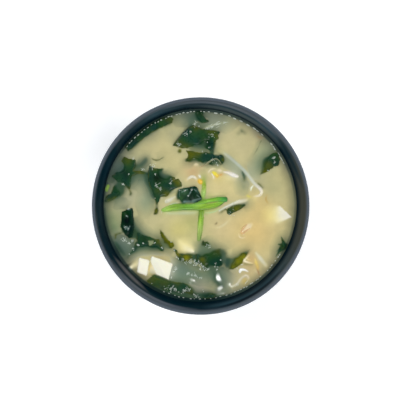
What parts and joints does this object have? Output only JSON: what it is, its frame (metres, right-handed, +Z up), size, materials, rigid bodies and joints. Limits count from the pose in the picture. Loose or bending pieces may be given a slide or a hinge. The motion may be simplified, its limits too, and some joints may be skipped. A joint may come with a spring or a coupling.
{
  "type": "bowl of miso soup",
  "caption": "Black flared bowl on a foot ring, filled near the rim with miso soup that carries tofu cubes, wakame leaves, spring onion and bean sprouts.",
  "frame": {"origin": "middle of the foot ring's underside, on the bowl's axis", "axes": "+Z up along the bowl's axis, +Y away from the person who eats, +X to the right"},
  "size_m": [0.12, 0.12, 0.064],
  "materials": {
    "lacquer": "glossy black lacquer on plastic, with a faint blue cast",
    "broth": "cloudy pale yellow liquid with a wet gloss",
    "wakame": "wet dark green leaf, olive where it is thin",
    "tofu": "silken bean curd, cream white, soft and moist",
    "onion": "bright green leaf with fine veins along it",
    "sprout": "pale translucent stem, wet",
    "bean": "yellow bean half, wet",
    "bubble": "pale foam bubbles"
  },
  "bodies": {
    "root": {"bowl": "lacquer", "broth": "broth", "wakame_wall_upper_left": "wakame", "wakame_wall_top": "wakame", "wakame_top_large": "wakame", "wakame_top_lower": "wakame", "wakame_right": "wakame", "wakame_left": "wakame", "wakame_wall_left": "wakame", "wakame_centre_left": "wakame", "wakame_sweep": "wakame", "wakame_olive_middle": "wakame", "wakame_under_tofu": "wakame", "wakame_bottom_middle": "wakame", "wakame_olive_right": "wakame", "wakame_bottom_left": "wakame", "wakame_wall_bottom": "wakame", "wakame_beside_onion": "wakame", "wakame_wall_right": "wakame", "wakame_onion_foot": "wakame", "wakame_crumpled_middle": "wakame", "wakame_crumpled_left": "wakame", "tofu_left": "tofu", "tofu_right": "tofu", "tofu_corner_wall": "tofu", "tofu_wall_right": "tofu", "tofu_middle": "tofu", "onion_leaf_across": "onion", "onion_leaf_down": "onion", "onion_piece_wall": "onion", "sprout_long": "sprout", "sprout_short": "sprout", "sprout_head": "sprout", "sprout_middle_left": "sprout", "sprout_left": "sprout", "sprout_right_of_onion": "sprout", "sprout_lower_right": "sprout", "sprout_loop": "sprout", "sprout_hook": "sprout", "bean_yellow_top": "bean", "bean_yellow_middle": "bean", "bean_yellow_right": "bean", "bean_pale_right": "sprout"}
  },
  "joints": []
}
